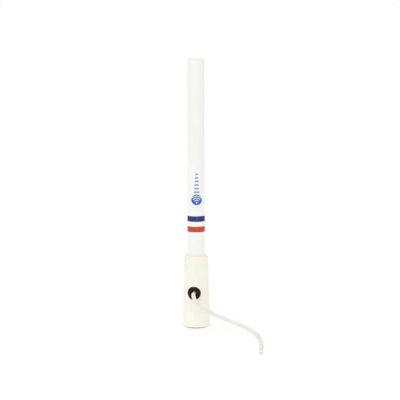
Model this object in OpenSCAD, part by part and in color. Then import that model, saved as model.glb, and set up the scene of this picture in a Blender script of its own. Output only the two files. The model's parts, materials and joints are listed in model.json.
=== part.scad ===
// Short marine omnidirectional antenna: a tapered fibreglass radome over a collinear
// radiator stack, standing in a nylon ferrule with a side cable exit.
// The origin is the centre of the seating face, +Z runs up the antenna and the cable
// leaves the ferrule towards -Y. All sizes are in millimetres.

/* [Ferrule] */
// Outside diameter of the ferrule at its lower edge
foot_d = 36.4; // [36:0.1:40]
// Outside diameter of the ferrule below its top shoulder
neck_d = 30.6; // [29:0.1:33]
// Height of the ferrule's top above the seating face
ferrule_h = 95; // [94:0.5:110]
// Rounding of the top shoulder
shoulder_r = 3.8; // [2:0.1:4.5]
// Rounding of the lower edge
foot_r = 0.6; // [0.5:0.1:2]
// Diameter of the hollow that the cable turns in
hollow_d = 21; // [20:0.5:22]

/* [Thread insert] */
// Major diameter of the mounting thread, one inch
thread_major_d = 25.4; // [25.4:0.1:25.4]
// Minor diameter of the mounting thread
thread_minor_d = 23.6; // [23.5:0.05:23.8]
// Thread turns to the inch
threads_per_inch = 14; // [14:1:14]
// Height of the brass insert, threaded right through
insert_h = 26; // [20:1:28]
// Outside diameter of the insert's body
insert_d = 29; // [28:0.5:30]
// Outside diameter of the insert's flange
flange_d = 30.8; // [30.4:0.1:35.6]
// Thickness of the insert's flange
flange_t = 1.8; // [0.8:0.1:2]

/* [Cable exit] */
// Height of the cable exit's centre above the seating face
exit_z = 47; // [42:0.5:47.5]
// Diameter of the grommet
grommet_d = 17.5; // [14:0.5:17.5]
// How far the grommet's face lies below the ferrule's surface
grommet_sink = 0.5; // [0.2:0.1:1]
// Diameter of the grommet's bell mouth
bell_d = 8.6; // [7:0.1:10]

/* [Radome] */
// Outside diameter of the radome in the ferrule
tube_d = 22.8; // [22:0.1:23.5]
// Outside diameter of the radome at its tip
tip_d = 21; // [20.8:0.1:22.5]
// Inside diameter of the radome
tube_bore_d = 18; // [17:0.5:19]
// Height of the whole antenna
total_h = 348; // [346:0.5:360]
// Depth that the radome reaches down into the ferrule
socket_depth = 38; // [36:0.5:38]
// Thickness of the tip cap's disc
cap_t = 2; // [1:0.5:4]
// Length of the tip cap's plug
cap_plug_l = 6; // [4:0.5:7]

/* [Markings] */
// Height of the red band's lower edge
red_band_z = 126.3; // [100:0.1:130]
// Width of each band
band_w = 7.2; // [4:0.1:8]
// Gap between the two bands
band_gap = 6.4; // [4:0.1:7]
// Thickness of the bands and the emblem
film_t = 0.15; // [0.1:0.05:0.2]
// Height of the emblem disc's centre
emblem_z = 168.5; // [162:0.5:172]
// Diameter of the emblem disc
emblem_d = 13.8; // [10:0.2:14]
// Direction that the emblem faces, turned from -Y towards +X, in degrees
emblem_turn = 15; // [0:1:30]
// Number of bars above the emblem disc
bar_count = 6; // [3:1:7]

/* [Coaxial cable] */
// Diameter of the cable over its jacket
cable_d = 5; // [4.9:0.1:5.1]
// Diameter over the braid
braid_d = 3.6; // [3.5:0.05:3.7]
// Diameter of the dielectric
dielectric_d = 2.95; // [2.8:0.05:3]
// Diameter of the centre conductor
conductor_d = 0.9; // [0.8:0.1:1]
// Radius of the bend inside the ferrule
inner_bend_r = 9; // [8:0.5:9]

/* [Radiator] */
// Length of each radiating element, half a wave at 2.45 GHz
element_l = 58; // [57:0.5:58]
// Diameter of each radiating element
element_d = 2.4; // [2:0.2:3]
// Length of the choke sleeve, a quarter wave
choke_l = 29; // [28:0.5:30]
// Outside diameter of the choke sleeve
choke_d = 10; // [8:0.5:12]
// Height of each phasing coil
coil_h = 11; // [9:0.5:11]
// Diameter of each phasing coil at its wire's centre
coil_d = 6; // [5:0.5:8]
// Diameter of the phasing coils' wire
wire_d = 1.2; // [0.8:0.1:1.4]
// Turns in each phasing coil
coil_turns = 4; // [3:1:5]
// Thickness of each foam spacer
spacer_t = 6; // [4:0.5:10]

/* [Lead] */
// Run out of the grommet before the first bend
exit_run = 3; // [3:0.1:4]
// Radius of the bend that turns the lead down
drop_bend_r = 8; // [8:0.5:10]
// Short run between the first two bends
drop_run = 1.1; // [0.5:0.1:3]
// Radius of the bend that carries the lead round to the side
sweep_bend_r = 11.5; // [11:0.5:14]
// Run beside the ferrule
side_run = 18.9; // [14:0.1:21]
// Radius of the bend at the top of the falling run
fall_bend_r = 18; // [16:1:30]
// Radius of the bend that lays the lead on the ground
landing_bend_r = 31; // [28:1:40]
// Run on the ground before the last curve
ground_run = 7.2; // [7:0.1:12]
// Radius of the last, slow curve
tail_bend_r = 180; // [120:10:250]
// Straight run at the lead's cut end
tail_run = 19; // [15:0.5:40]

/* [Hidden] */
$fn = 96;
// Clearance between pieces that are pushed together
fit = 0.05;
// Clearance between a film and the radome under it
film_gap = 0.02;
// Overshoot of a cutting shape past the face that it cuts
over = 1;
// Angle step of rounded outlines
arc_step = 3;

foot_rad = foot_d / 2;
neck_rad = neck_d / 2;
cable_r = cable_d / 2;
braid_r = braid_d / 2;
dielectric_r = dielectric_d / 2;
conductor_r = conductor_d / 2;
tube_foot_z = ferrule_h - socket_depth;
cap_z = total_h - cap_t;
thread_pitch = 25.4 / threads_per_inch;
thread_land = 0.5;
thread_root = 0.25;
grommet_back = 9.4;

// Radiator stack, from the bottom up
plug_z = tube_foot_z + 1;
plug_h = 10;
crimp_z = plug_z + plug_h + 0.3;
crimp_h = 5;
jacket_top_z = 96;
choke_z = 100;
choke_wall = 0.5;
feed_z = choke_z + choke_l + 0.3;
feed_h = 4;
feed_step = 2.2;
element_1_z = feed_z + feed_h + 0.1;
coil_1_z = element_1_z + element_l + wire_d / 2 + fit;
element_2_z = coil_1_z + coil_h + wire_d / 2 + fit;
coil_2_z = element_2_z + element_l + wire_d / 2 + fit;
element_3_z = coil_2_z + coil_h + wire_d / 2 + fit;
socket_in_element = 4;
pad_z = element_3_z + element_l + 0.5;
stack_r = tube_bore_d / 2 - fit;
former_end = 1.6;

// Ball and cup where one length of the lead turns on the next
ball_r = cable_r - fit;
cup_r = cable_r + fit;
cup_lip = 1.5;
pivot_y = -16;
// How far the cable's core reaches out, short of the cup
core_out = -pivot_y - cup_r - 0.2;
// Straight runs are a hair thinner than the bends and reach this far into them,
// so that no surface of a run lies in a surface of a bend
run_r = cable_r - 0.03;
tuck = 0.4;

// Headings of the lead after each bend, as [turn from +X, climb] in degrees
drop_heading = [-55, -48];
sweep_heading = [25, -35];
fall_heading = [-2, -19];
ground_heading = [-74, 0];
tail_heading = [-86, 0];

// ---- Helpers: outlines and turned shapes ----

// Points of a circular arc about c, from angle a0 to a1
function arc(c, r, a0, a1) =
    let (n = max(2, ceil(abs(a1 - a0) / arc_step)))
    [for (i = [0:n]) c + r * [cos(a0 + (a1 - a0) * i / n), sin(a0 + (a1 - a0) * i / n)]];

// Radius of the ferrule's outside at height z
function ferrule_r(z) = foot_rad + (neck_rad - foot_rad) * z / ferrule_h;

// Radius of the radome's outside at height z
function tube_r(z) =
    let (t = max(0, (z - ferrule_h) / (total_h - ferrule_h)))
    (tube_d + (tip_d - tube_d) * t) / 2;

// Ring outline between two radii, or a disc when ri is 0
module ring_2d(ro, ri) {
    difference() {
        circle(r = ro);
        if (ri > 0) circle(r = ri);
    }
}

// Upright pipe from height z, or a rod when ri is 0
module pipe(z, h, ro, ri = 0) {
    translate([0, 0, z]) linear_extrude(height = h) ring_2d(ro, ri);
}

// Ring of film that hugs the radome's taper
module film_ring(z, h) {
    low = tube_r(z) + film_gap;
    high = tube_r(z + h) + film_gap;
    rotate_extrude()
        polygon([[low, z], [low + film_t, z], [high + film_t, z + h], [high, z + h]]);
}

// ---- Ferrule and its insert ----

module ferrule_outline() {
    side_z = ferrule_h - shoulder_r;
    polygon(concat(
        [[0, flange_t]],
        arc([ferrule_r(flange_t + foot_r) - foot_r, flange_t + foot_r], foot_r, -90, 0),
        arc([ferrule_r(side_z) - shoulder_r, side_z], shoulder_r, 0, 90),
        [[0, ferrule_h]]
    ));
}

module ferrule() {
    color("ivory")
        difference() {
            rotate_extrude() ferrule_outline();
            pipe(flange_t - over, insert_h - flange_t + over + fit, insert_d / 2 + fit);
            pipe(insert_h, tube_foot_z - insert_h + over, hollow_d / 2);
            pipe(tube_foot_z, socket_depth + over, tube_d / 2 + fit);
            translate([0, 0, exit_z])
                rotate([90, 0, 0])
                    cylinder(h = foot_rad + over, r = grommet_d / 2 + fit);
        }
}

// Inner side of the insert: thread lands with a V groove between each pair
function thread_profile() =
    let (minor = thread_minor_d / 2, major = thread_major_d / 2)
    let (flank = (thread_pitch - thread_land - thread_root) / 2)
    let (count = floor((insert_h - thread_land) / thread_pitch))
    [for (i = [0:count - 1], k = [0:3])
        [
            (k == 1 || k == 2) ? major : minor,
            thread_land + i * thread_pitch + [0, flank, flank + thread_root, 2 * flank + thread_root][k]
        ]];

module thread_insert() {
    minor = thread_minor_d / 2;
    color("burlywood")
        rotate_extrude()
            polygon(concat(
                [[minor, 0]],
                thread_profile(),
                [
                    [minor, insert_h],
                    [insert_d / 2, insert_h],
                    [insert_d / 2, flange_t - fit],
                    [flange_d / 2, flange_t - fit],
                    [flange_d / 2, 0.3],
                    [flange_d / 2 - 0.3, 0]
                ]
            ));
}

// ---- Cable exit ----

// Solid whose side lies a little inside the ferrule's tapered side
module sunk_side(sink) {
    cylinder(h = ferrule_h, r1 = foot_rad - sink, r2 = neck_rad - sink);
}

module cable_grommet() {
    face = ferrule_r(exit_z) - grommet_sink;
    bell_h = 4;
    flare = (bell_d / 2 - cable_r) / bell_h;
    color("#33282b")
        difference() {
            intersection() {
                translate([0, -grommet_back, exit_z])
                    rotate([90, 0, 0])
                        cylinder(h = foot_rad, r = grommet_d / 2);
                sunk_side(grommet_sink);
            }
            translate([0, 0, exit_z])
                rotate([90, 0, 0])
                    cylinder(h = foot_rad, r = cable_r + fit);
            translate([0, -(face - bell_h), exit_z])
                rotate([90, 0, 0])
                    cylinder(h = bell_h + over, r1 = cable_r, r2 = cable_r + flare * (bell_h + over));
        }
}

// ---- Radome and its markings ----

module radome_tube() {
    bore = tube_bore_d / 2;
    color("white")
        rotate_extrude()
            polygon([
                [bore, tube_foot_z + fit],
                [tube_d / 2, tube_foot_z + fit],
                [tube_d / 2, ferrule_h],
                [tube_r(cap_z - fit), cap_z - fit],
                [bore, cap_z - fit]
            ]);
}

module tip_cap() {
    edge_r = 0.4;
    rim = tube_r(total_h);
    color("whitesmoke")
        rotate_extrude()
            polygon(concat(
                [
                    [0, cap_z - cap_plug_l],
                    [stack_r - 0.5, cap_z - cap_plug_l],
                    [stack_r, cap_z - cap_plug_l + 0.5],
                    [stack_r, cap_z],
                    [rim, cap_z]
                ],
                arc([rim - edge_r, total_h - edge_r], edge_r, 0, 90),
                [[0, total_h]]
            ));
}

module red_band() {
    color("indianred") film_ring(red_band_z, band_w);
}

module blue_band() {
    color("midnightblue") film_ring(red_band_z + band_w + band_gap, band_w);
}

// Cuts a flat motif, drawn with its middle on the emblem's centre, out of the film
module on_film() {
    sheet_h = 60;
    intersection() {
        film_ring(emblem_z - emblem_d, sheet_h);
        rotate([0, 0, emblem_turn])
            translate([0, 0, emblem_z])
                rotate([90, 0, 0])
                    linear_extrude(height = tube_d) children();
    }
}

// One radio wave: a slice of a ring that opens upwards
module wave_2d(r, w) {
    spread = 50;
    intersection() {
        ring_2d(r + w / 2, r - w / 2);
        polygon([[0, 0], 2 * r * [sin(spread), cos(spread)], 2 * r * [-sin(spread), cos(spread)]]);
    }
}

module emblem_disc() {
    source_y = -emblem_d * 0.27;
    color("royalblue")
        on_film()
            difference() {
                circle(d = emblem_d);
                translate([0, source_y]) {
                    circle(r = 1.1);
                    wave_2d(3.4, 1.1);
                    wave_2d(6.0, 1.1);
                    wave_2d(8.6, 1.1);
                }
            }
}

module emblem_bars() {
    first = emblem_d / 2 + 2;
    step = 4.6;
    color("cornflowerblue")
        on_film()
            for (i = [0:bar_count - 1]) {
                w = 7 - 0.7 * i;
                translate([-w / 2, first + i * step]) square([w, 2]);
            }
}

// ---- Coaxial cable inside the antenna ----

// One layer of the cable: down the axis, round the inner bend and out to the grommet
module inner_layer(top_z, ro, ri, out_to) {
    bend_z = exit_z + inner_bend_r;
    pipe(bend_z, top_z - bend_z, ro, ri);
    translate([0, -inner_bend_r, bend_z])
        rotate([-90, 0, 90])
            rotate_extrude(angle = 90)
                translate([inner_bend_r, 0]) ring_2d(ro, ri);
    translate([0, -inner_bend_r, exit_z])
        rotate([90, 0, 0])
            linear_extrude(height = out_to - inner_bend_r) ring_2d(ro, ri);
}

module coax_jacket() {
    color("beige")
        difference() {
            inner_layer(jacket_top_z, cable_r, braid_r + film_gap, -pivot_y - cup_lip);
            translate([0, pivot_y, exit_z]) sphere(r = cup_r);
        }
}

module coax_braid() {
    color("silver")
        inner_layer(choke_z + choke_l, braid_r, dielectric_r + film_gap, core_out);
}

module coax_dielectric() {
    color("white")
        inner_layer(feed_z + feed_step, dielectric_r, conductor_r + film_gap, core_out);
}

module coax_conductor() {
    color("peru")
        inner_layer(element_1_z + socket_in_element - 0.5, conductor_r, 0, core_out);
}

module base_plug() {
    color("gainsboro") pipe(plug_z, plug_h, stack_r, cable_r + fit);
}

module crimp_ring() {
    color("goldenrod") pipe(crimp_z, crimp_h, cable_r + 1, cable_r + fit);
}

// ---- Radiator stack ----

module choke_sleeve() {
    top_t = 1;
    color("goldenrod")
        difference() {
            pipe(choke_z, choke_l, choke_d / 2);
            pipe(choke_z - over, choke_l - top_t + over, choke_d / 2 - choke_wall);
            pipe(choke_z, choke_l + over, braid_r + film_gap);
        }
}

module feed_insulator() {
    color("white")
        difference() {
            pipe(feed_z, feed_h, stack_r);
            pipe(feed_z - over, feed_step + over, dielectric_r + film_gap);
            pipe(feed_z, feed_h + over, conductor_r + film_gap);
        }
}

module element(z) {
    color("goldenrod") pipe(z, element_l, element_d / 2);
}

module lower_radiator() {
    color("goldenrod")
        difference() {
            element(element_1_z);
            pipe(element_1_z - over, socket_in_element + over, conductor_r + film_gap);
        }
}

module middle_radiator() {
    element(element_2_z);
}

module upper_radiator() {
    element(element_3_z);
}

// Centre line of a coil that starts and ends on the axis
function coil_point(t) =
    let (lead_in = min(1, 4 * min(t, 1 - t) * coil_turns))
    let (r = coil_d / 2 * sin(90 * lead_in))
    [r * cos(360 * coil_turns * t), r * sin(360 * coil_turns * t), coil_h * t];

function unit(v) = v / norm(v);

module coil(z) {
    sides = 8;
    steps = 16 * coil_turns;
    rings = [for (i = [0:steps])
        let (t = i / steps, dt = 0.25 / steps)
        let (ahead = unit(coil_point(min(1, t + dt)) - coil_point(max(0, t - dt))))
        let (across = unit(cross(ahead, [0, 0, 1])), up = cross(across, ahead))
        for (k = [0:sides - 1])
            coil_point(t) + wire_d / 2 * (cos(360 * k / sides) * across + sin(360 * k / sides) * up)];
    skin = [for (i = [0:steps - 1], k = [0:sides - 1])
        let (a = i * sides + k, b = i * sides + (k + 1) % sides)
        each [[a, a + sides, b], [b, a + sides, b + sides]]];
    ends = [
        [for (k = [0:sides - 1]) k],
        [for (k = [0:sides - 1]) steps * sides + sides - 1 - k]
    ];
    color("peru") translate([0, 0, z]) polyhedron(points = rings, faces = concat(skin, ends));
}

module lower_phasing_coil() {
    coil(coil_1_z);
}

module upper_phasing_coil() {
    coil(coil_2_z);
}

module former(z) {
    color("white") pipe(z + former_end, coil_h - 2 * former_end, coil_d / 2 - wire_d / 2 - 0.1);
}

module lower_coil_former() {
    former(coil_1_z);
}

module upper_coil_former() {
    former(coil_2_z);
}

module spacer(z) {
    color("lightgrey") pipe(z + element_l / 2 - spacer_t / 2, spacer_t, stack_r, element_d / 2 + fit);
}

module lower_spacer() {
    spacer(element_1_z);
}

module middle_spacer() {
    spacer(element_2_z);
}

module upper_spacer() {
    spacer(element_3_z);
}

module tip_pad() {
    color("lightgrey") pipe(pad_z, cap_z - cap_plug_l - pad_z - 0.2, stack_r - 0.3);
}

// ---- Lead outside the ferrule ----

function heading(h) = [cos(h[0]) * cos(h[1]), sin(h[0]) * cos(h[1]), sin(h[1])];

// Direction square to heading a, on the side that heading b turns to
function side_of(a, b) = unit(b - (a * b) * a);

// Where a bend of radius r ends, from point p and heading a to heading b
function bend_end(p, a, b, r) =
    let (turn = acos(a * b))
    p + r * (sin(turn) * a + (1 - cos(turn)) * side_of(a, b));

// Puts children at p, their +Z along ahead and their +X along side
module at(p, ahead, side) {
    up = cross(ahead, side);
    multmatrix([
        [side.x, up.x, ahead.x, p.x],
        [side.y, up.y, ahead.y, p.y],
        [side.z, up.z, ahead.z, p.z],
        [0, 0, 0, 1]
    ]) children();
}

// Straight rod or pipe from p along heading a
module straight(p, a, l, ro, ri = 0) {
    at(p, a, side_of(a, [0, 0, 1])) linear_extrude(height = l) ring_2d(ro, ri);
}

// Straight run of the lead, tucked into the bend before it, the bend after it or both
module run(p, a, l, before = tuck, after = tuck) {
    straight(p - before * a, a, before + l + after, run_r);
}

module bend(p, a, b, r) {
    at(p, a, side_of(a, b))
        translate([r, 0, 0])
            rotate([90, 0, 180])
                rotate_extrude(angle = acos(a * b)) translate([r, 0]) circle(r = cable_r);
}

module ball(p) {
    translate(p) sphere(r = ball_r);
}

// The lead's headings and corners, in order from the grommet
h0 = [0, -1, 0];
h1 = heading(drop_heading);
h2 = heading(sweep_heading);
h3 = heading(fall_heading);
h4 = heading(ground_heading);
h5 = heading(tail_heading);
p0 = [0, pivot_y, exit_z];
p1 = p0 + exit_run * h0;
p2 = bend_end(p1, h0, h1, drop_bend_r);
p3 = p2 + drop_run * h1;
p4 = bend_end(p3, h1, h2, sweep_bend_r);
p5 = p4 + side_run * h2;
p6 = bend_end(p5, h2, h3, fall_bend_r);
landing = bend_end([0, 0, 0], h3, h4, landing_bend_r);
fall_run = (cable_r - p6.z - landing.z) / h3.z;
joint_2 = p6 + fall_run / 2 * h3;
p7 = p6 + fall_run * h3;
p8 = p7 + landing;
joint_3 = p8 + ground_run / 2 * h4;
p9 = p8 + ground_run * h4;
p10 = bend_end(p9, h4, h5, tail_bend_r);
core_l = tail_run - 2;
core_p = p10 + (tail_run - core_l) * h5;

module lead_near() {
    color("beige")
        difference() {
            union() {
                ball(p0);
                run(p0, h0, exit_run, before = 0);
                bend(p1, h0, h1, drop_bend_r);
                run(p2, h1, drop_run);
                bend(p3, h1, h2, sweep_bend_r);
                run(p4, h2, side_run);
                bend(p5, h2, h3, fall_bend_r);
                run(p6, h3, fall_run / 2 - cup_lip, after = 0);
            }
            translate(joint_2) sphere(r = cup_r);
        }
}

module lead_middle() {
    color("beige")
        difference() {
            union() {
                ball(joint_2);
                run(joint_2, h3, fall_run / 2, before = 0);
                bend(p7, h3, h4, landing_bend_r);
                run(p8, h4, ground_run / 2 - cup_lip, after = 0);
            }
            translate(joint_3) sphere(r = cup_r);
        }
}

module lead_tail() {
    color("beige")
        difference() {
            union() {
                ball(joint_3);
                run(joint_3, h4, ground_run / 2, before = 0);
                bend(p9, h4, h5, tail_bend_r);
                run(p10, h5, tail_run, after = 0);
            }
            straight(core_p, h5, core_l + over, braid_r + film_gap);
        }
}

// One layer of the cable's core, from inside the lead's last run to its cut end
module tail_layer(ro, ri) {
    straight(core_p + fit * h5, h5, core_l - fit, ro, ri);
}

module lead_tail_braid() {
    color("silver") tail_layer(braid_r, dielectric_r + film_gap);
}

module lead_tail_dielectric() {
    color("white") tail_layer(dielectric_r, conductor_r + film_gap);
}

module lead_tail_conductor() {
    color("peru") tail_layer(conductor_r, 0);
}

ferrule();
thread_insert();
cable_grommet();
radome_tube();
tip_cap();
blue_band();
red_band();
emblem_disc();
emblem_bars();
coax_jacket();
coax_braid();
coax_dielectric();
coax_conductor();
base_plug();
crimp_ring();
choke_sleeve();
feed_insulator();
lower_radiator();
middle_radiator();
upper_radiator();
lower_phasing_coil();
upper_phasing_coil();
lower_coil_former();
upper_coil_former();
lower_spacer();
middle_spacer();
upper_spacer();
tip_pad();
lead_near();
lead_middle();
lead_tail();
lead_tail_braid();
lead_tail_dielectric();
lead_tail_conductor();
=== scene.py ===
"""Looks of an upright omnidirectional antenna: radome, ferrule, grommet, lead and their insides.

Sizes are in millimetres here and are turned into metres when a piece's mesh is made.
"""

import json
import math

import bmesh
import bpy
from mathutils import Matrix, Vector, noise


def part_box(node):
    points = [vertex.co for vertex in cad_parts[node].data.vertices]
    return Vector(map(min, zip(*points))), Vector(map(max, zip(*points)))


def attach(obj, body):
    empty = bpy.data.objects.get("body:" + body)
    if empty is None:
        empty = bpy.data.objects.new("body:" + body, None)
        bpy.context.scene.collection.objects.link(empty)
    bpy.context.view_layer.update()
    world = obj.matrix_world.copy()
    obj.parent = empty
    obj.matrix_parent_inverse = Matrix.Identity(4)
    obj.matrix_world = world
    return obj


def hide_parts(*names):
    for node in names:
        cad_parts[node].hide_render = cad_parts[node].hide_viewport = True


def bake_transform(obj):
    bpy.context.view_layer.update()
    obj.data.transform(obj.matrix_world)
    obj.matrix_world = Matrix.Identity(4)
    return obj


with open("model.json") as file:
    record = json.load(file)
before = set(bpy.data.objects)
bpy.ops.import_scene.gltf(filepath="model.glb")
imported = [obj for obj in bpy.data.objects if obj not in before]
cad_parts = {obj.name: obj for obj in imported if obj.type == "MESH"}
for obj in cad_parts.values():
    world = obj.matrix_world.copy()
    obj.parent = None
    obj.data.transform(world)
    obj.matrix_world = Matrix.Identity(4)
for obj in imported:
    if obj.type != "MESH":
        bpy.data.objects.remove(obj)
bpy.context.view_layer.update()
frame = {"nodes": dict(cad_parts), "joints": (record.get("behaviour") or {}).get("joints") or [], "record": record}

MM = 0.001
COLUMNS = 144  # points round a turned piece
ARC_STEP = math.radians(12)  # most that a rounded corner turns from point to point
nodes = frame["nodes"]
joints = {j["name"]: j for j in frame["joints"]}
mounts = {m["name"]: m for m in frame["record"]["mounts"]}


# ---- Sizes, read from the frame where it holds them ----

def span(node):
    """Lowest and highest corner of a CAD node, in millimetres."""
    low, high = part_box(node)
    return low / MM, high / MM


FIT = 0.05  # gap between pieces that are glued or pressed together
foot_r, neck_r = 18.2, 15.3  # ferrule's radius at the seating face and at its top
shoulder_r = 3.8  # rounding of the ferrule's top
hollow_r = 10.5  # hollow in the ferrule, in which the cable turns
ferrule_low, ferrule_high = span("ferrule")
ferrule_top = ferrule_high.z

insert_high = span("thread_insert")[1]
insert_r = 14.5  # insert's body, over its knurls
flange_r = insert_high.x
flange_t = ferrule_low.z

grommet_low, grommet_high = span("cable_grommet")
grommet_r = (grommet_high.x - grommet_low.x) / 2
exit_z = (grommet_high.z + grommet_low.z) / 2

tube_low, tube_high = span("radome_tube")
tube_foot_r = tube_high.x
tube_bore_r = 9.0
cap_low, cap_high = span("tip_cap")
tip_r = cap_high.x
total_h = cap_high.z

cable_r = 2.5
core_bore_r = 1.82  # jacket's bore, a hair over the braid


def ferrule_radius(z):
    return foot_r + (neck_r - foot_r) * z / ferrule_top


def tube_radius(z):
    share = max(0.0, (z - ferrule_top) / (total_h - ferrule_top))
    return tube_foot_r + (tip_r - tube_foot_r) * share


# ---- Mesh building ----

class Shell:
    """Points and faces of one piece, gathered loop by loop."""

    def __init__(self):
        self.points = []
        self.faces = []

    def loop(self, points):
        """Adds points and gives back their places in the list."""
        first = len(self.points)
        self.points.extend(Vector(p) for p in points)
        return list(range(first, len(self.points)))

    def join(self, a, b):
        """Quads between two closed loops of the same length."""
        for i in range(len(a)):
            k = (i + 1) % len(a)
            self.faces.append((a[i], a[k], b[k], b[i]))

    def follow(self, last, rings):
        """Joins a loop to the first of some new rings and each ring to the next."""
        for points in rings:
            loop = self.loop(points)
            self.join(last, loop)
            last = loop
        return last

    def close(self, loop):
        """A fan of triangles from a loop to its middle."""
        middle = sum((self.points[i] for i in loop), Vector()) / len(loop)
        centre = self.loop([middle])[0]
        for i in range(len(loop)):
            self.faces.append((loop[i], loop[(i + 1) % len(loop)], centre))


def piece(name, shell, slot, replaced, sharp=34):
    """Object of a closed shell, in its slot's finish. Edges over sharp degrees stay sharp."""
    mesh = bpy.data.meshes.new(name)
    mesh.from_pydata([p * MM for p in shell.points], [], shell.faces)
    bm = bmesh.new()
    bm.from_mesh(mesh)
    bmesh.ops.remove_doubles(bm, verts=bm.verts, dist=1e-7)
    bmesh.ops.recalc_face_normals(bm, faces=bm.faces)
    for face in bm.faces:
        face.smooth = True
    for edge in bm.edges:
        edge.smooth = edge.calc_face_angle(0) < math.radians(sharp)
    bm.to_mesh(mesh)
    bm.free()
    mesh.materials.append(finishes[slot])
    made = bpy.data.objects.new(name, mesh)
    bpy.context.scene.collection.objects.link(made)
    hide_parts(*replaced)
    return made


def rounded(corners, closed=True):
    """Outline through corners (radius, height, rounding), with each corner rounded by an arc."""
    outline = []
    count = len(corners)
    for i, (r, z, rounding) in enumerate(corners):
        p = Vector((r, z))
        if rounding == 0 or (not closed and i in (0, count - 1)):
            outline.append(p)
            continue
        before = (Vector(corners[i - 1][:2]) - p).normalized()
        after = (Vector(corners[(i + 1) % count][:2]) - p).normalized()
        half = before.angle(after) / 2
        centre = p + (before + after).normalized() * rounding / math.sin(half)
        start = p + before * rounding / math.tan(half) - centre
        turn = start.angle_signed(p + after * rounding / math.tan(half) - centre)
        steps = max(2, math.ceil(abs(turn) / ARC_STEP))
        for k in range(steps + 1):
            outline.append(centre + Matrix.Rotation(-turn * k / steps, 2) @ start)
    return outline


def round_loop(r, z, columns=COLUMNS):
    """Ring of points about the antenna's axis, from -Y round by way of +X."""
    angles = (2 * math.pi * i / columns - math.pi / 2 for i in range(columns))
    return [(r * math.cos(a), r * math.sin(a), z) for a in angles]


def turned(outline, columns=COLUMNS, closed=True):
    """Shell turned about the antenna's axis. An open outline is closed by a disc at each end."""
    shell = Shell()
    loops = [shell.loop(round_loop(r, z, columns)) for r, z in outline]
    for a, b in zip(loops, loops[1:]):
        shell.join(a, b)
    if closed:
        shell.join(loops[-1], loops[0])
    else:
        shell.close(loops[0])
        shell.close(loops[-1])
    return shell


# ---- Way the cable runs ----

def heading(turn, climb):
    """Direction from its turn about +Z and its climb, in degrees."""
    turn, climb = math.radians(turn), math.radians(climb)
    level = math.cos(climb)
    return Vector((math.cos(turn) * level, math.sin(turn) * level, math.sin(climb)))


STEP = 0.5  # spacing of points along the cable's centre line
inner_bend_r, landing_bend_r = 9.0, 31.0
jacket_top = span("coax_jacket")[1].z
drop, sweep, fall = heading(-55, -48), heading(25, -35), heading(-2, -19)
ground, tail = heading(-74, 0), heading(-86, 0)
exit_point = Vector(joints["lead_swing"]["pos_m"]) / MM
lift_point = Vector(joints["lead_lift"]["pos_m"]) / MM
end_point = Vector(mounts["lead_end"]["pos_m"]) / MM
tail_run = mounts["lead_end"]["dims"]["length_mm"]


class Route:
    """Centre line of the cable, laid leg by leg: straight runs and round bends."""

    def __init__(self, start, ahead):
        self.points = [start]
        self.ahead = ahead
        self.marks = {}

    def end(self):
        return self.points[-1]

    def run(self, length):
        start = self.end()
        count = max(1, round(length / STEP))
        self.points += [start + self.ahead * length * i / count for i in range(1, count + 1)]

    def run_to(self, target):
        self.run((target - self.end()).dot(self.ahead))

    def bend(self, ahead, r):
        start, before = self.end(), self.ahead
        side = (ahead - ahead.dot(before) * before).normalized()
        turn = before.angle(ahead)
        count = max(2, round(r * turn / STEP))
        for i in range(1, count + 1):
            a = turn * i / count
            self.points.append(start + r * (math.sin(a) * before + (1 - math.cos(a)) * side))
        self.ahead = ahead

    def mark(self, name):
        self.marks[name] = len(self.points) - 1


def lay_cable():
    """The whole cable, from the radiator down the axis, out of the grommet and over the ground."""
    # Down the axis and round to the grommet, short of which the core that is modelled ends
    route = Route(Vector((0, 0, jacket_top)), Vector((0, 0, -1)))
    route.run(jacket_top - exit_z - inner_bend_r)
    route.bend(Vector((0, -1, 0)), inner_bend_r)
    route.run_to(exit_point + Vector((0, 2.7, 0)))
    route.mark("core_end")
    route.run_to(exit_point)
    route.mark("exit")
    # Out of the bell mouth, down past the ferrule and off to the side
    route.run(3)
    route.bend(drop, 8)
    route.run(1.1)
    route.bend(sweep, 11.5)
    route.run(9)
    route.mark("near_end")
    route.run(9.9)
    route.bend(fall, 18)
    route.run_to(lift_point + 14 * fall)
    route.mark("middle_end")
    # What the landing bend itself comes down, and the run that leaves just that much
    landing = Route(Vector(), fall)
    landing.bend(ground, landing_bend_r)
    route.run((cable_r - landing.end().z - route.end().z) / fall.z)
    route.bend(ground, landing_bend_r)
    # Over the ground to the cut end, with the core in nearly all of its straight run
    route.run(7.2)
    route.bend(tail, 180)
    route.run_to(end_point - (tail_run - 2) * tail)
    route.mark("core_start")
    route.run_to(end_point)
    route.mark("end")
    return route


cable_route = lay_cable()


# ---- Procedural finishes ----

def srgb(*levels):
    """Linear colour of display levels from 0 to 255."""
    shares = (level / 255 for level in levels)
    return (*(s / 12.92 if s <= 0.04045 else ((s + 0.055) / 1.055) ** 2.4 for s in shares), 1.0)


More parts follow.
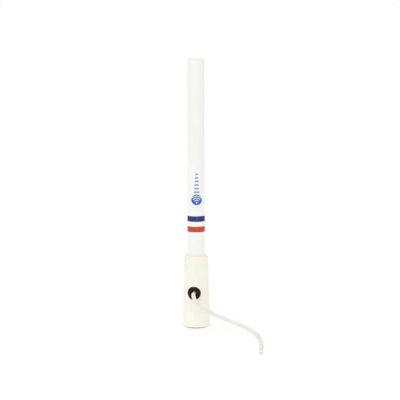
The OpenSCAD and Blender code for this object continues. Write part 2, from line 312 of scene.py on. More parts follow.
class Finish:
    """A material with one Principled surface, and short calls for the patterns on it."""

    STRIPES = 3.2  # slanting stripes in one unit of a wave texture, near enough

    def __init__(self, name, where=None):
        self.material = bpy.data.materials.new(name)
        self.material.use_nodes = True
        self.tree = self.material.node_tree
        self.skin = self.tree.nodes["Principled BSDF"]
        if where:
            self.where = self.node("ShaderNodeAttribute", attribute_name=where).outputs["Vector"]
        else:
            self.where = self.node("ShaderNodeTexCoord").outputs["Object"]

    def node(self, kind, **settings):
        made = self.tree.nodes.new(kind)
        for key, value in settings.items():
            setattr(made, key, value)
        return made

    def feed(self, socket, value):
        if isinstance(value, bpy.types.NodeSocket):
            self.tree.links.new(value, socket)
        else:
            socket.default_value = value

    def stretched(self, stretch):
        mapping = self.node("ShaderNodeMapping")
        self.feed(mapping.inputs["Vector"], self.where)
        mapping.inputs["Scale"].default_value = stretch
        return mapping.outputs["Vector"]

    def noise(self, size, stretch=(1, 1, 1), detail=3.0):
        """Soft noise whose blotches are about size mm across."""
        texture = self.node("ShaderNodeTexNoise")
        self.feed(texture.inputs["Vector"], self.stretched(stretch))
        texture.inputs["Scale"].default_value = 1 / (size * MM)
        texture.inputs["Detail"].default_value = detail
        return texture.outputs["Fac"]

    def cells(self, size):
        """Distance from the middle of cells about size mm across."""
        texture = self.node("ShaderNodeTexVoronoi")
        self.feed(texture.inputs["Vector"], self.where)
        texture.inputs["Scale"].default_value = 1 / (size * MM)
        return texture.outputs["Distance"]

    def bands(self, size, stretch=(1, 1, 1)):
        """Slanting stripes about size mm apart, whose slant follows the signs in stretch."""
        texture = self.node("ShaderNodeTexWave", bands_direction="DIAGONAL")
        self.feed(texture.inputs["Vector"], self.stretched(stretch))
        texture.inputs["Scale"].default_value = 1 / (self.STRIPES * size * MM)
        texture.inputs["Distortion"].default_value = 0.6
        return texture.outputs["Fac"]

    def height(self):
        """Height above the seating face, in metres."""
        split = self.node("ShaderNodeSeparateXYZ")
        self.feed(split.inputs[0], self.where)
        return split.outputs["Z"]

    def attribute(self, name):
        return self.node("ShaderNodeAttribute", attribute_name=name).outputs["Fac"]

    def ramp(self, value, low, high, to_low=0.0, to_high=1.0):
        """Value in the span low to high, eased into the span to_low to to_high."""
        ramp = self.node("ShaderNodeMapRange", interpolation_type="SMOOTHSTEP")
        self.feed(ramp.inputs["Value"], value)
        ramp.inputs["From Min"].default_value = low
        ramp.inputs["From Max"].default_value = high
        ramp.inputs["To Min"].default_value = to_low
        ramp.inputs["To Max"].default_value = to_high
        return ramp.outputs["Result"]

    def math(self, operation, a, b):
        made = self.node("ShaderNodeMath", operation=operation)
        self.feed(made.inputs[0], a)
        self.feed(made.inputs[1], b)
        return made.outputs[0]

    def mix(self, share, a, b):
        made = self.node("ShaderNodeMix", data_type="RGBA")
        self.feed(made.inputs["Factor"], share)
        self.feed(made.inputs["A"], a)
        self.feed(made.inputs["B"], b)
        return made.outputs["Result"]

    def set(self, **values):
        """Feeds the Principled surface's inputs, named with _ for each space."""
        for key, value in values.items():
            self.feed(self.skin.inputs[key.replace("_", " ")], value)

    def bump(self, depth, *heights):
        """Relief of about depth mm from the sum of some patterns."""
        total = heights[0]
        for height in heights[1:]:
            total = self.math("ADD", total, height)
        bump = self.node("ShaderNodeBump")
        bump.inputs["Distance"].default_value = depth * MM
        self.feed(bump.inputs["Height"], total)
        self.feed(self.skin.inputs["Normal"], bump.outputs["Normal"])


def ivory_nylon():
    """Satin moulded nylon: painted lighter low down against the shade there, a painted warm tint of light and
    shade at its top rim, and scuffed at its foot.
    """
    f = Finish("ivory_nylon")
    mottle = f.noise(16, detail=4)
    colour = f.mix(f.ramp(mottle, 0.35, 0.7), srgb(242, 240, 230), srgb(240, 236, 223))
    # Painted light: lighter low down, lifting the shade that falls near the foot.
    painted_light_low = f.ramp(f.height(), 5 * MM, exit_z * MM, 0.3, 0)
    colour = f.mix(painted_light_low, colour, srgb(248, 246, 236))
    # Painted light and shade: a patchy warm tint at the top rim stands in for how light falls on the shoulder.
    rim = f.ramp(f.height(), (ferrule_top - 6.5) * MM, (ferrule_top - 2) * MM, 0, 0.6)
    painted_rim_tint = f.math("MULTIPLY", rim, f.ramp(f.noise(9), 0.3, 0.6, 0.55, 1))
    colour = f.mix(painted_rim_tint, colour, srgb(242, 236, 212))
    low = f.ramp(f.height(), 1 * MM, 7 * MM, 1, 0)
    scuffs = f.ramp(f.noise(1.1, (1, 1, 3), 5), 0.6, 0.7, 0, 0.35)
    colour = f.mix(f.math("MULTIPLY", low, scuffs), colour, srgb(204, 194, 170))
    rough = f.ramp(f.noise(5), 0.3, 0.7, 0.36, 0.5)
    f.set(Base_Color=colour, Roughness=rough, Specular_IOR_Level=0.35)
    f.set(Subsurface_Weight=0.12, Subsurface_Scale=1.5 * MM, Subsurface_Radius=(1.0, 0.8, 0.5))
    f.bump(0.012, f.noise(0.35, detail=2), f.ramp(f.noise(4), 0, 1, 0, 0.8))
    return f.material


def white_lacquer():
    """Satin white lacquer, with the strands of the glass fibre faintly showing through."""
    f = Finish("white_lacquer")
    strands = f.noise(0.5, (1, 1, 0.03), 2)
    colour = f.mix(f.ramp(strands, 0.3, 0.7), srgb(241, 241, 238), srgb(238, 238, 233))
    cloud = f.ramp(f.noise(24, (1, 1, 0.5), 4), 0.45, 0.75, 0, 0.6)
    colour = f.mix(cloud, colour, srgb(237, 236, 228))
    rough = f.ramp(f.noise(7, (1, 1, 0.4)), 0.3, 0.7, 0.24, 0.38)
    f.set(Base_Color=colour, Roughness=rough, Specular_IOR_Level=0.35)
    f.set(Coat_Weight=0.1, Coat_Roughness=0.2)
    f.bump(0.006, strands, f.noise(2.2, detail=2))
    return f.material


def satin_cap():
    """Satin white moulding with a fine eroded grain."""
    f = Finish("satin_cap")
    cloud = f.ramp(f.noise(6, detail=4), 0.35, 0.7)
    colour = f.mix(cloud, srgb(240, 240, 236), srgb(236, 235, 228))
    f.set(Base_Color=colour, Roughness=f.ramp(f.noise(1.5), 0.3, 0.7, 0.4, 0.56))
    f.bump(0.015, f.noise(0.3, detail=2))
    return f.material


def dark_rubber():
    """Soft, very dark brown rubber, painted brown along its top as warm light thrown from the hole's edge, and
    dusty in places.
    """
    f = Finish("dark_rubber")
    colour = f.mix(f.ramp(f.noise(3.5), 0.35, 0.65), srgb(32, 9, 17), srgb(45, 18, 27))
    # Painted light: a brown band along the top stands in for warm light thrown on it from the ferrule's hole edge.
    top = f.ramp(f.height(), (exit_z + 6.2) * MM, (exit_z + 8.7) * MM, 0, 0.95)
    painted_top_light = f.math("MULTIPLY", top, f.ramp(f.noise(1.4, detail=4), 0.35, 0.6, 0.6, 1))
    colour = f.mix(painted_top_light, colour, srgb(126, 80, 52))
    dust = f.ramp(f.noise(0.8, detail=6), 0.6, 0.74, 0, 0.3)
    colour = f.mix(dust, colour, srgb(104, 86, 78))
    rough = f.ramp(f.noise(2), 0.3, 0.7, 0.5, 0.72)
    f.set(Base_Color=colour, Roughness=rough, Specular_IOR_Level=0.2)
    f.bump(0.02, f.noise(0.25, detail=2), f.noise(1.6))
    return f.material


def film(name, deep, worn, overlap_highlight=None):
    """Printed film with uneven ink, and a painted highlight strip where the tape's ends lie one over the other."""
    f = Finish(name)
    ink = f.ramp(f.noise(2.4, (1, 1, 2), 4), 0.35, 0.72, 0, 0.4)
    colour = f.mix(ink, deep, worn)
    specks = f.ramp(f.noise(0.45, detail=5), 0.66, 0.76, 0, 0.4)
    colour = f.mix(specks, colour, worn)
    # Painted highlight: the strip over the tape's ends is painted lighter.
    if overlap_highlight:
        colour = f.mix(f.attribute("overlap_highlight"), colour, overlap_highlight)
    rough = f.ramp(f.noise(1.8), 0.3, 0.7, 0.34, 0.5)
    f.set(Base_Color=colour, Roughness=rough, Specular_IOR_Level=0.15)
    f.bump(0.008, f.noise(0.4, detail=2), f.noise(3))
    return f.material


def soft_vinyl():
    """Soft PVC, drawn and a little grimy, darkened where it leaves the grommet by rub marks and painted shade of
    the bell mouth, its cut end painted near-white to lift the shade on that face.

    Its patterns lie in the cable's straightened place, whose height is the way along the cable.
    """
    f = Finish("soft_vinyl", "straight_place")
    drawn = f.noise(0.45, (1, 1, 0.02), 2)
    colour = f.mix(f.ramp(drawn, 0.3, 0.7), srgb(231, 229, 221), srgb(228, 225, 215))
    grime = f.ramp(f.noise(7, (1, 1, 0.4), 5), 0.5, 0.75, 0, 0.5)
    colour = f.mix(grime, colour, srgb(221, 216, 199))
    along = f.height()
    exit_at = cable_route.marks["exit"] * STEP
    # Partly rub marks and partly painted shade: darker where the cable comes out of the grommet's bell mouth.
    past_bore = f.ramp(along, (exit_at - 6) * MM, (exit_at - 1) * MM)
    rub_marks_and_shade = f.ramp(along, (exit_at + 3) * MM, (exit_at + 6.5) * MM, 0.85, 0)
    colour = f.mix(f.math("MULTIPLY", past_bore, rub_marks_and_shade), colour, srgb(152, 136, 118))
    # Painted light: the cut end face is painted near-white, lifting the shade on that upright face.
    cut_at = cable_route.marks["end"] * STEP
    cut = f.ramp(along, (cut_at - 0.13) * MM, (cut_at - 0.03) * MM, 0, 0.9)
    colour = f.mix(cut, colour, srgb(248, 247, 242))
    rough = f.ramp(f.noise(3, (1, 1, 0.3)), 0.3, 0.7, 0.36, 0.52)
    f.set(Base_Color=colour, Roughness=rough)
    f.bump(0.01, drawn, f.noise(0.5, detail=2))
    return f.material


def metal(name, bright, dull, rings, rough=0.3):
    """Machined or drawn metal with a tarnish, and tool marks rings mm apart."""
    f = Finish(name)
    tarnish = f.ramp(f.noise(3, detail=5), 0.42, 0.68)
    marks = f.noise(rings, (0.04, 0.04, 1), 2)
    rub = f.ramp(marks, 0.3, 0.7, 0, 0.35)
    share = f.math("MAXIMUM", f.math("MULTIPLY", tarnish, 0.8), rub)
    level = f.ramp(f.noise(1.2), 0.3, 0.7, rough, rough + 0.18)
    f.set(Base_Color=f.mix(share, bright, dull), Metallic=0.9, Roughness=level)
    f.bump(0.012, marks)
    return f.material


def tinned_braid():
    """Tinned copper wires, woven from two crossing sets."""
    f = Finish("tinned_braid")
    weave = f.math("MAXIMUM", f.bands(0.45, (1, 1, 1)), f.bands(0.45, (1, 1, -1)))
    colour = f.mix(f.ramp(weave, 0.2, 0.9), srgb(172, 169, 162), srgb(226, 225, 220))
    rough = f.ramp(f.noise(0.8), 0.3, 0.7, 0.28, 0.45)
    f.set(Base_Color=colour, Metallic=0.9, Roughness=rough)
    f.bump(0.08, weave)
    return f.material


def plastic(name, light, shade, grain, rough=0.45, clear=0.0):
    """Plain moulded or turned plastic: clouded colour, fine grain and uneven gloss.

    Light comes through it by the share clear, all colours nearly alike.
    """
    f = Finish(name)
    colour = f.mix(f.ramp(f.noise(4, detail=4), 0.35, 0.7), light, shade)
    level = f.ramp(f.noise(1.6), 0.3, 0.7, rough, rough + 0.15)
    f.set(Base_Color=colour, Roughness=level)
    f.set(Subsurface_Weight=clear, Subsurface_Scale=1.5 * MM, Subsurface_Radius=(1.0, 0.95, 0.9))
    f.bump(0.015, f.noise(grain, (0.2, 0.2, 1), 2))
    return f.material


def foam():
    """Closed-cell foam."""
    f = Finish("foam")
    cell = f.cells(0.55)
    fine = f.cells(0.22)
    colour = f.mix(f.ramp(cell, 0.05, 0.6), srgb(168, 168, 170), srgb(120, 120, 123))
    f.set(Base_Color=colour, Roughness=f.ramp(fine, 0, 0.6, 0.82, 0.95), Sheen_Weight=0.2)
    f.bump(0.12, cell, fine)
    return f.material


def pale_floor():
    """Matt paper floor with a faint fibre grain.

    Most of the paper's light is an even glow, which keeps the shadows on it faint. Only the
    camera sees it, and only from above, so that the antenna's underside shows from below.
    """
    glow = 0.69
    shaded = 0.3  # what the glow leaves of the paper's own colour
    f = Finish("pale_floor")
    fibre = f.noise(1.2, (1, 0.3, 1), 3)
    paper = f.mix(fibre, (0.95, 0.95, 0.95, 1), (0.96, 0.96, 0.96, 1))
    seen = f.node("ShaderNodeLightPath").outputs["Is Camera Ray"]
    from_below = f.node("ShaderNodeNewGeometry").outputs["Backfacing"]
    f.set(Base_Color=f.mix(seen, paper, f.mix(1 - shaded, paper, (0, 0, 0, 1))))
    f.set(Roughness=0.9, Specular_IOR_Level=0.1)
    f.set(Emission_Color=(1, 1, 1, 1), Emission_Strength=f.math("MULTIPLY", seen, glow))
    f.set(Alpha=f.math("GREATER_THAN", seen, from_below))
    return f.material


finishes = {
    "nylon_ivory": ivory_nylon(),
    "brass_insert": metal("brass_insert", srgb(184, 133, 58), srgb(148, 104, 42), 0.3, 0.36),
    "rubber_dark": dark_rubber(),
    "fibreglass_white": white_lacquer(),
    "cap_white": satin_cap(),
    # The third colour of the navy and red films is their painted highlight strip.
    "film_navy": film("film_navy", srgb(49, 49, 114), srgb(70, 70, 128), srgb(60, 74, 146)),
    "film_red": film("film_red", srgb(194, 71, 49), srgb(201, 87, 68), srgb(198, 80, 61)),
    "film_blue": film("film_blue", srgb(52, 98, 180), srgb(84, 124, 196)),
    "film_light_blue": film("film_light_blue", srgb(120, 155, 205), srgb(160, 184, 220)),
    "cable_jacket": soft_vinyl(),
    "tinned_braid": tinned_braid(),
    "dielectric": plastic("dielectric", srgb(240, 240, 236), srgb(228, 228, 222), 0.5, 0.3, 0.3),
    "copper": metal("copper", srgb(226, 150, 110), srgb(150, 84, 58), 0.15, 0.28),
    "plug_nylon": plastic("plug_nylon", srgb(222, 220, 212), srgb(204, 201, 190), 0.4),
    "brass_part": metal("brass_part", srgb(226, 192, 112), srgb(160, 124, 66), 0.25),
    "ptfe": plastic("ptfe", srgb(244, 244, 242), srgb(232, 232, 228), 0.2, 0.38, 0.15),
    "foam": foam(),
}


# ---- Ferrule: a turned wall with a round hole in its side ----

def between(a, b, share):
    return a + (b - a) * share


def spread(low, high, count):
    return [low + (high - low) * i / count for i in range(count + 1)]


class Wall:
    """A skin of rings in a shell, with a round hole about the -Y direction left open."""

    def __init__(self, shell, heights, radius_at, half_columns):
        self.shell = shell
        self.heights = heights
        self.radius_at = radius_at
        self.half = half_columns
        self.grid = {}

    def at(self, row, column):
        key = (row, column % COLUMNS)
        if key not in self.grid:
            angle = 2 * math.pi * column / COLUMNS - math.pi / 2
            z = self.heights[row]
            r = self.radius_at(z)
            self.grid[key] = self.shell.loop([(r * math.cos(angle), r * math.sin(angle), z)])[0]
        return self.grid[key]

    def row(self, row):
        """Whole ring of points at one row."""
        return [self.at(row, column) for column in range(COLUMNS)]

    def skin(self, hole_rows):
        """Faces of the whole wall, apart from the window that the hole sits in."""
        low, high = hole_rows
        for row in range(len(self.heights) - 1):
            for column in range(-COLUMNS // 2, COLUMNS // 2):
                if low <= row < high and -self.half <= column < self.half:
                    continue
                low_pair = self.at(row, column), self.at(row, column + 1)
                high_pair = self.at(row + 1, column + 1), self.at(row + 1, column)
                self.shell.faces.append(low_pair + high_pair)

    def window(self, hole_rows):
        """Window's edge, clockwise from the middle of its top."""
        low, high = hole_rows
        top = [(high, c) for c in range(self.half)]
        right = [(r, self.half) for r in range(high, low, -1)]
        bottom = [(low, c) for c in range(self.half, -self.half, -1)]
        left = [(r, -self.half) for r in range(low, high)]
        rest = [(high, c) for c in range(-self.half, 0)]
        return [self.at(*c) for c in top + right + bottom + left + rest]

    def point(self, x, z, depth=0.0):
        """Point on the wall, or depth under it, where a line along Y meets it."""
        return (x, -math.sqrt(self.radius_at(z) ** 2 - x * x) + depth, z)

    def circle(self, count, r, depth=0.0):
        """Circle about the hole's middle, laid onto the wall, clockwise from its top."""
        turns = (math.pi / 2 - 2 * math.pi * k / count for k in range(count))
        return [self.point(r * math.cos(t), exit_z + r * math.sin(t), depth) for t in turns]

    def to_hole(self, hole_rows, r, steps):
        """Rings from the window's edge to the hole's, and the last of them."""
        edge = self.window(hole_rows)
        rim = self.circle(len(edge), r)
        last = edge
        for s in range(1, steps + 1):
            share = s / steps
            ring = []
            for i, (x, _, z) in zip(edge, rim):
                start = self.shell.points[i]
                ring.append(self.point(between(start.x, x, share), between(start.z, z, share)))
            last = self.shell.follow(last, [ring])
        return last


def ferrule():
    """The ferrule: its side with the hole, the hollow inside, and turned ends that join them."""
    hole_r = grommet_r + FIT
    lip = 0.15  # rounding of the hole's edge
    side_low, side_high = flange_t + 0.7, ferrule_top - shoulder_r  # between the rounded ends
    hair = 0.01  # keeps the shoulder's arc off its neighbours
    pocket_r, pocket_top = insert_r + FIT, insert_high.z + FIT
    socket_r, socket_z = tube_foot_r + FIT, tube_low.z - FIT
    shell = Shell()

    # Half height, half columns and rows of the window round the hole, outside and in the hollow
    outer_h, outer_half, outer_rows = hole_r + 2, 15, 30
    inner_h, inner_rows = hole_r + 0.6, 12
    inner_half = (2 * outer_half + outer_rows - inner_rows) // 2
    plain_rows = 14
    below = spread(side_low, exit_z - outer_h, plain_rows)[:-1]
    beside = spread(exit_z - outer_h, exit_z + outer_h, outer_rows)
    above = spread(exit_z + outer_h, side_high, plain_rows)[1:]
    outer = Wall(shell, below + beside + above, ferrule_radius, outer_half)
    outer_hole = (len(below), len(below) + outer_rows)
    outer.skin(outer_hole)

    inner_z = [pocket_top] + spread(exit_z - inner_h, exit_z + inner_h, inner_rows) + [socket_z]
    inner = Wall(shell, inner_z, lambda z: hollow_r, inner_half)
    inner_hole = (1, 1 + inner_rows)
    inner.skin(inner_hole)

    ring = outer.to_hole(outer_hole, hole_r + lip, 5)
    count = len(ring)
    for k in (1, 2, 3, 4):
        turn = math.pi / 2 * k / 4
        r = hole_r + lip * (1 - math.sin(turn))
        ring = shell.follow(ring, [outer.circle(count, r, lip * (1 - math.cos(turn)))])
    # Through the wall, rings follow a thinner and thinner ferrule
    for wall_r in (15, 13, 11.5):
        shrunk = [(x, y * wall_r / foot_r, z) for x, y, z in outer.circle(count, hole_r)]
        ring = shell.follow(ring, [shrunk])
    shell.join(ring, inner.to_hole(inner_hole, hole_r, 3))

    shoulder = rounded([
        (ferrule_radius(side_high), side_high, 0),
        (ferrule_radius(side_high), ferrule_top, shoulder_r - hair),
        (socket_r + hair, ferrule_top, 0.25),
        (socket_r, socket_z, 0),
        (hollow_r, socket_z, 0),
    ], closed=False)
    foot = rounded([
        (ferrule_radius(side_low), side_low, 0),
        (ferrule_radius(flange_t), flange_t, 0.55),
        (pocket_r, flange_t, 0.3),
        (pocket_r, pocket_top, 0),
        (hollow_r, pocket_top, 0),
    ], closed=False)
    for outline, outer_row, inner_row in (
        (shoulder, len(outer.heights) - 1, len(inner_z) - 1),
        (foot, 0, 0),
    ):
        last = shell.follow(outer.row(outer_row), (round_loop(r, z) for r, z in outline[1:-1]))
        shell.join(last, inner.row(inner_row))

    made = piece("ferrule_body", shell, "nylon_ivory", ["ferrule"])
    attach(made, "antenna")


# ---- Grommet ----

def grommet():
    """Rubber disc with a rolled rim, a groove and a bell mouth, its face bent as the ferrule is."""
    count = 96
    bore_r = cable_r + 0.06
    back_y, back_edge = grommet_high.y, 0.3
    # Inwards from the grommet's side, and depth under the ferrule's surface
    rim = [(0, 2.2), (0, 1.1), (0.08, 0.72), (0.3, 0.5), (0.7, 0.42), (1.2, 0.45)]
    groove = [(1.45, 0.6), (1.65, 0.82), (1.95, 0.82), (2.15, 0.6), (2.45, 0.45)]
    bulge = [(3.0, 0.4), (3.4, 0.5)]
    face = [(grommet_r - inwards, depth) for inwards, depth in rim + groove + bulge]
    # Radius from the hole's middle, and depth
    mouth = [(4.35, 0.85), (4.0, 1.35), (3.6, 2.1), (3.2, 3.0), (2.85, 4.0), (2.62, 5.0)]
    face += mouth + [(bore_r, 6.0)]
    shell = Shell()
    probe = Wall(shell, [], ferrule_radius, 0)

    def flat_ring(r, y):
        turns = (math.pi / 2 - 2 * math.pi * k / count for k in range(count))
        return [(r * math.cos(t), y, exit_z + r * math.sin(t)) for t in turns]

    back = shell.loop(flat_ring(grommet_r - back_edge, back_y))
    last = shell.follow(back, [flat_ring(grommet_r, back_y - back_edge)])
    last = shell.follow(last, (probe.circle(count, r, depth) for r, depth in face))
    last = shell.follow(last, [flat_ring(bore_r, back_y)])
    shell.join(last, back)
    made = piece("grommet", shell, "rubber_dark", ["cable_grommet"], 50)
    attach(made, "antenna")


# ---- Thread insert ----

def thread_insert():
    """Brass insert: a helical thread inside, and a knurled body over a flange."""
    pitch = 25.4 / 14  # 14 turns to the inch
    minor, major = 11.8, 12.7
    top = insert_high.z
    lead_in = 0.3
    per_pitch = 12  # rows of points
    rows = int((top + 2 * pitch) / pitch * per_pitch)
    shell = Shell()

    def groove(share):
        """Radius at a share of one pitch: a land, a flank, a root and a flank."""
        rise, land, flank = 1.45, 0.4, 0.85
        from_land = (0.5 - abs(share - 0.5)) * 2
        depth = min(1.0, max(0.0, from_land * rise - land) / flank)
        return minor + (major - minor) * depth

    loops = []
    for row in range(rows + 1):
        loop = []
        for i in range(COLUMNS + 1):
            turn = i / COLUMNS
            z = (row / per_pitch - 1 + turn) * pitch
            r = groove((row / per_pitch) % 1.0)
            z = min(top, max(0.0, z))
            r = max(r, major + lead_in - z, major + lead_in - (top - z))
            angle = 2 * math.pi * turn - math.pi / 2
            loop.append((r * math.cos(angle), r * math.sin(angle), z))
        loops.append(shell.loop(loop))
    for a, b in zip(loops, loops[1:]):
        for i in range(COLUMNS):
            shell.faces.append((a[i], a[i + 1], b[i + 1], b[i]))

    flange_top = flange_t - FIT
    body_r = insert_r - 0.4
    knurl_h, knurl_columns = 0.35, 4  # half of each four columns stand proud
    outline = rounded([
        (major + lead_in, 0, 0),
        (flange_r, 0, 0.25),
        (flange_r, flange_top, 0.2),
        (body_r, flange_top, 0),
        (body_r, top, 0.4),
        (major + lead_in, top, 0),
    ], closed=False)
    rings = []
    for r, z in outline:
        on_body = abs(r - body_r) < 0.001
        ring = []
        for i, (x, y, _) in enumerate(round_loop(1, z)):
            proud = on_body and i % knurl_columns < knurl_columns / 2
            knurl = knurl_h if proud else 0.0
            ring.append(((r + knurl) * x, (r + knurl) * y, z))
        rings.append(ring)
    shell.follow(shell.loop(rings[0]), rings[1:])
    made = piece("threaded_insert", shell, "brass_insert", ["thread_insert"])
    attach(made, "antenna")


# ---- Radome, cap and bands ----

def radome():
    """White tube: straight inside, tapered above the ferrule, rounded at its ends."""
    corners = [
        (tube_bore_r, tube_low.z, 0.3),
        (tube_foot_r, tube_low.z, 0.5),
        (tube_foot_r, ferrule_top, 0),
        (tube_radius(tube_high.z), tube_high.z, 0.05),
        (tube_bore_r, tube_high.z, 0.2),
    ]
    made = piece("radome", turned(rounded(corners)), "fibreglass_white", ["radome_tube"])
    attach(made, "antenna")


def cap():
    """Tip cap: a plug with a lead-in, and a disc with a soft edge and a shallow gate mark."""
    disc_z = tube_high.z + FIT
    plug_r = tube_bore_r - FIT
    gate_r, gate_depth = 1.9, 0.2
    middle_r = 0.4  # turned this far in, the rest closed by flat discs
    corners = [
        (middle_r, cap_low.z, 0),
        (plug_r - 0.6, cap_low.z, 0),
        (plug_r, cap_low.z + 0.7, 0.3),
        (plug_r, disc_z, 0),
        (tip_r, disc_z, 0.04),
        (tip_r, total_h - 0.06, 0.5),
        (gate_r + 0.3, total_h, 0.1),
        (gate_r, total_h - gate_depth, 0.1),
        (middle_r, total_h - gate_depth, 0),
    ]
    shell = turned(rounded(corners, closed=False), closed=False)
    made = piece("end_cap", shell, "cap_white", ["tip_cap"])
    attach(made, "antenna")


def tape(name, node, slot):
    """A band of tape wound once round the radome, its outer end lying over its inner end."""
    low, high = span(node)
    thick, under, between_turns, corner = 0.14, 0.02, 0.012, 0.04
    overlap_deg, ramp_deg, start_deg = 10.0, 3.0, 22.0
    steps = 150
    total = 360 + overlap_deg
    sections = []
    lifts = []
    for i in range(steps + 1):
        turn = total * i / steps
        lift = min(1.0, max(0.0, (turn - 360 + ramp_deg) / ramp_deg))
        angle = math.radians(start_deg - overlap_deg + turn - 90)
        section = []
        for side, z in ((0, low.z), (0, high.z), (1, high.z), (1, low.z)):
            r = tube_radius(z) + under + side * thick + lift * (thick + between_turns)
            section.append((r * math.cos(angle), r * math.sin(angle), z))
        sections.append(section)
        lifts += [lift] * len(section)
    shell = Shell()
    start = shell.loop(sections[0])
    end = shell.follow(start, sections[1:])
    shell.faces.append(tuple(start))
    shell.faces.append(tuple(end))
    made = piece(name, shell, slot, [node])
    # Share of the outer end's lift, where the film paints its highlight strip.
    strip = made.data.attributes.new("overlap_highlight", "FLOAT", "POINT")
    strip.data.foreach_set("value", lifts)
    edges = made.modifiers.new("soft_edges", "BEVEL")
    edges.width = corner * MM
    edges.segments = 2
    edges.limit_method = "ANGLE"
    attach(made, "antenna")


# ---- Cable ----

def soften(points, first, passes=24):
    """Evens out the change from run to bend, as a stiff cable does, after point first."""
    points = list(points)
    for _ in range(passes):
        middle = [points[i] * 0.5 + (points[i - 1] + points[i + 1]) * 0.25
                  for i in range(first, len(points) - 1)]
        points[first:-1] = middle
    return points


def carried_frames(points):
    """(point, ahead, side, up) along a line, turning no more than the line does."""
    side = Vector((1, 0, 0))
    frames = []
    for i, p in enumerate(points):
        ahead = (points[min(i + 1, len(points) - 1)] - points[max(i - 1, 0)]).normalized()
        side = (side - side.dot(ahead) * ahead).normalized()
        frames.append((p, ahead, side, ahead.cross(side)))
    return frames


def hoop(station, r, sides, shift=0.0):
    """Circle of points square to a line at one of its stations, shifted ahead."""
    p, ahead, side, up = station
    turns = (2 * math.pi * k / sides for k in range(sides))
    return [p + ahead * shift + r * (math.cos(t) * side + math.sin(t) * up) for t in turns]


def cable_length(name, stations, first, last, bore, replaced):
    """Closed length of jacket between two stations, cut square where its bore comes out.

    bore holds the bore's first and last station, and is None for a length without a bore.
    """
    sides = 40
    edge = 0.12  # bevel of a cut end
    shell = Shell()
    spots = []  # where each point would be on a straight cable that stands up

    def ring(i, r, shift=0.0):
        loop = shell.loop(hoop(stations[i], r, sides, shift))
        turns = (2 * math.pi * k / sides for k in range(sides))
        spots.extend((r * math.cos(t), r * math.sin(t), i * STEP + shift) for t in turns)
        return loop

    cut_first = bore is not None and bore[0] == first
    cut_last = bore is not None and bore[1] == last
    path = []
    if cut_first:
        path += [ring(first, core_bore_r), ring(first, cable_r - edge), ring(first, cable_r, edge)]
    else:
        path.append(ring(first, cable_r))
    path += [ring(i, cable_r) for i in range(first + 1, last)]
    if cut_last:
        path += [ring(last, cable_r, -edge), ring(last, cable_r - edge), ring(last, core_bore_r)]
    else:
        path.append(ring(last, cable_r))
    if cut_first:
        path = [ring(i, core_bore_r) for i in range(bore[1], first, -1)] + path
    if cut_last:
        path += [ring(i, core_bore_r) for i in range(last - 1, bore[0] - 1, -1)]
    for a, b in zip(path, path[1:]):
        shell.join(a, b)
    for loop in (path[0], path[-1]):
        shell.close(loop)
        spots.append((0.0, 0.0, 0.0))
    made = piece(name, shell, "cable_jacket", replaced, 40)
    place = made.data.attributes.new("straight_place", "FLOAT_VECTOR", "POINT")
    place.data.foreach_set("vector", [v * MM for spot in spots for v in spot])
    return made


def flex(made):
    """Bakes a piece's placement into its mesh."""
    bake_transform(made)


def cable():
    """The cable in three lengths, in place of the jacket and lead pieces from the CAD."""
    marks = cable_route.marks
    stations = carried_frames(soften(cable_route.points, marks["exit"]))
    near = cable_length("cable_near", stations, 0, marks["near_end"],
                        (0, marks["core_end"]), ["coax_jacket", "lead_near"])
    flex(near)
    middle = cable_length("cable_middle", stations, marks["near_end"], marks["middle_end"],
                          None, ["lead_middle"])
    flex(middle)
    end = cable_length("cable_end", stations, marks["middle_end"], marks["end"],
                       (marks["core_start"], marks["end"]), ["lead_tail"])
    flex(end)


# ---- Hidden insides ----

def coil(name, node):
    """Phasing coil: round wire that leaves the axis, turns four times and comes back to it."""
    low, high = span(node)
    wire_r, end_r, coil_r, turns, steps, sides = 0.6, 0.5, 3.0, 4, 160, 16
    quarters = 4 * turns
    climb = high.z - low.z - 2 * wire_r
    line = []
    for i in range(steps + 1):
        t = i / steps
        # The first and last quarter of a turn lead off the axis and back to it
        r = coil_r * math.sin(math.pi / 2 * min(1, quarters * min(t, 1 - t)))
        a = 2 * math.pi * turns * t
        line.append(Vector((r * math.cos(a), r * math.sin(a), low.z + wire_r + climb * t)))
    shell = Shell()
    frames = carried_frames(line)
    start = shell.loop(hoop(frames[0], end_r, sides))
    end = shell.follow(start, (hoop(f, wire_r, sides) for f in frames[1:-1]))
    end = shell.follow(end, [hoop(frames[-1], end_r, sides)])
    shell.close(start)
    shell.close(end)
    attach(piece(name, shell, "copper", [node]), "antenna")


def foam_part(name, node, bore_r):
    """Foam disc, crowned on its faces, soft at its edges and a little uneven on its side.

    A bore_r of 0 stands for a disc without a bore.
    """
    low, high = span(node)
    r = high.x
    crown, crown_r, middle_r = 0.3, r * 0.6, 0.4
    if bore_r:
        inner_r, sunk, soft = bore_r, crown, 0.4
    else:
        inner_r, sunk, soft = middle_r, 0, 0
    corners = [
        (inner_r, low.z + sunk, soft),
        (crown_r, low.z, 0.8),
        (r, low.z + crown, 1.2),
        (r, high.z - crown, 1.2),
        (crown_r, high.z, 0.8),
        (inner_r, high.z - sunk, soft),
    ]
    shell = turned(rounded(corners, closed=bool(bore_r)), 96, closed=bool(bore_r))
    dent, sway, flat = 0.12, 0.1, 0.6
    for p in shell.points:
        inward = Vector((p.x, p.y, 0)).normalized()
        p -= inward * dent * (noise.noise(p * 1.3) + 1) / 2 * (p.xy.length > r * 0.5)
        p.z += sway * noise.noise(p * 0.9) * (low.z + flat < p.z < high.z - flat)
    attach(piece(name, shell, "foam", [node], 60), "antenna")


def dress_frame():
    """Gives each CAD node that is still shown its procedural finish."""
    slots = {s["node"]: s["material_slot"] for s in frame["record"]["subparts"]}
    for name, node in nodes.items():
        if node.hide_render:
            continue
        node.data.materials.clear()
        node.data.materials.append(finishes[slots[name]])


# ---- Camera, light and floor ----

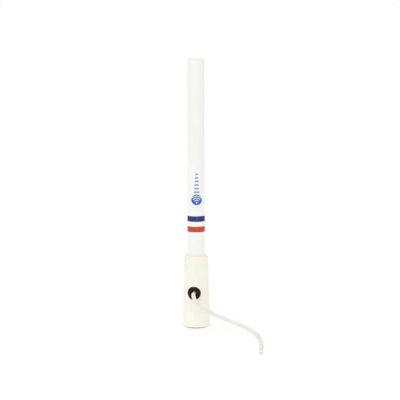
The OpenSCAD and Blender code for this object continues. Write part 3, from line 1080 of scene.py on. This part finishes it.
CAMERA_TURN, CAMERA_DIP, CAMERA_ROLL = 10.6, 6.7, -0.1  # degrees
CAMERA_AWAY, CAMERA_UP, CAMERA_RIGHT = 936.0, 277.0, 5.1
LENS = 65.25
# The surround's level at the horizon, what it gains overhead and behind the camera, and how
# many degrees left of the camera its front is
SKY_LEVEL, SKY_TOP, SKY_FRONT, SKY_LEFT = 0.70, 0.53, 0.18, 22.0
GROUND_GLOW = 1.05  # even level below the horizon, in place of what a floor throws back


def camera():
    turn = math.radians(CAMERA_TURN)
    right = Vector((math.cos(turn), math.sin(turn), 0))
    ahead = Vector((-math.sin(turn), math.cos(turn), 0))
    place = right * CAMERA_RIGHT - ahead * CAMERA_AWAY + Vector((0, 0, CAMERA_UP))
    data = bpy.data.cameras.new("camera")
    data.lens = LENS
    data.clip_end = 100
    made = bpy.data.objects.new("camera", data)
    made.matrix_world = (
        Matrix.Translation(place * MM)
        @ Matrix.Rotation(turn, 4, "Z")
        @ Matrix.Rotation(math.radians(90 - CAMERA_DIP), 4, "X")
        @ Matrix.Rotation(math.radians(CAMERA_ROLL), 4, "Z")
    )
    bpy.context.scene.collection.objects.link(made)
    bpy.context.scene.camera = made


def floor():
    half = 30.0
    corners = [(-half, -half, 0), (half, -half, 0), (half, half, 0), (-half, half, 0)]
    mesh = bpy.data.meshes.new("floor")
    mesh.from_pydata(corners, [], [(0, 1, 2, 3)])
    mesh.materials.append(pale_floor())
    made = bpy.data.objects.new("floor", mesh)
    bpy.context.scene.collection.objects.link(made)


def softbox(name, place, size, power):
    """Square area light at place, in metres, that faces the middle of the antenna."""
    data = bpy.data.lights.new(name, "AREA")
    data.size = size
    data.energy = power
    made = bpy.data.objects.new(name, data)
    aim = Vector((0, 0, total_h / 2 * MM)) - Vector(place)
    facing = aim.to_track_quat("-Z", "Y").to_matrix().to_4x4()
    made.matrix_world = Matrix.Translation(place) @ facing
    bpy.context.scene.collection.objects.link(made)


def studio_sky():
    """Soft white surround: brightest overhead, brighter behind the camera and even below.

    The camera itself sees it as plain white.
    """
    world = bpy.data.worlds.new("studio")
    bpy.context.scene.world = world
    world.use_nodes = True
    tree = world.node_tree
    background = tree.nodes["Background"]
    background.inputs["Color"].default_value = (1, 1, 1, 1)
    place = tree.nodes.new("ShaderNodeTexCoord")
    turn = math.radians(CAMERA_TURN - SKY_LEFT)
    front_x, front_y = SKY_FRONT * math.sin(turn), -SKY_FRONT * math.cos(turn)
    slope = tree.nodes.new("ShaderNodeVectorMath")
    slope.operation = "DOT_PRODUCT"
    slope.inputs[1].default_value = (front_x, front_y, SKY_TOP)
    level = tree.nodes.new("ShaderNodeMath")
    level.inputs[1].default_value = SKY_LEVEL
    split = tree.nodes.new("ShaderNodeSeparateXYZ")
    below = tree.nodes.new("ShaderNodeMath")
    below.operation = "LESS_THAN"
    below.inputs[1].default_value = 0
    lit = tree.nodes.new("ShaderNodeMix")
    lit.inputs["B"].default_value = GROUND_GLOW
    path = tree.nodes.new("ShaderNodeLightPath")
    seen = tree.nodes.new("ShaderNodeMix")
    seen.inputs["B"].default_value = 1.0
    for output, socket in (
        (place.outputs["Generated"], slope.inputs[0]),
        (slope.outputs["Value"], level.inputs[0]),
        (place.outputs["Generated"], split.inputs[0]),
        (split.outputs["Z"], below.inputs[0]),
        (level.outputs["Value"], lit.inputs["A"]),
        (below.outputs["Value"], lit.inputs["Factor"]),
        (lit.outputs["Result"], seen.inputs["A"]),
        (path.outputs["Is Camera Ray"], seen.inputs["Factor"]),
        (seen.outputs["Result"], background.inputs["Strength"]),
    ):
        tree.links.new(output, socket)


ferrule()
grommet()
thread_insert()
radome()
cap()
tape("navy_tape", "blue_band", "film_navy")
tape("red_tape", "red_band", "film_red")
cable()
coil("lower_coil", "lower_phasing_coil")
coil("upper_coil", "upper_phasing_coil")
for which in ("lower", "middle", "upper"):
    foam_part(f"{which}_foam", f"{which}_spacer", bore_r=1.25)
foam_part("tip_foam", "tip_pad", bore_r=0)
dress_frame()

camera()
floor()
softbox("key", (-0.3, -1.5, 1.2), 0.8, 1.2)
studio_sky()
bpy.context.scene.view_settings.view_transform = "Standard"
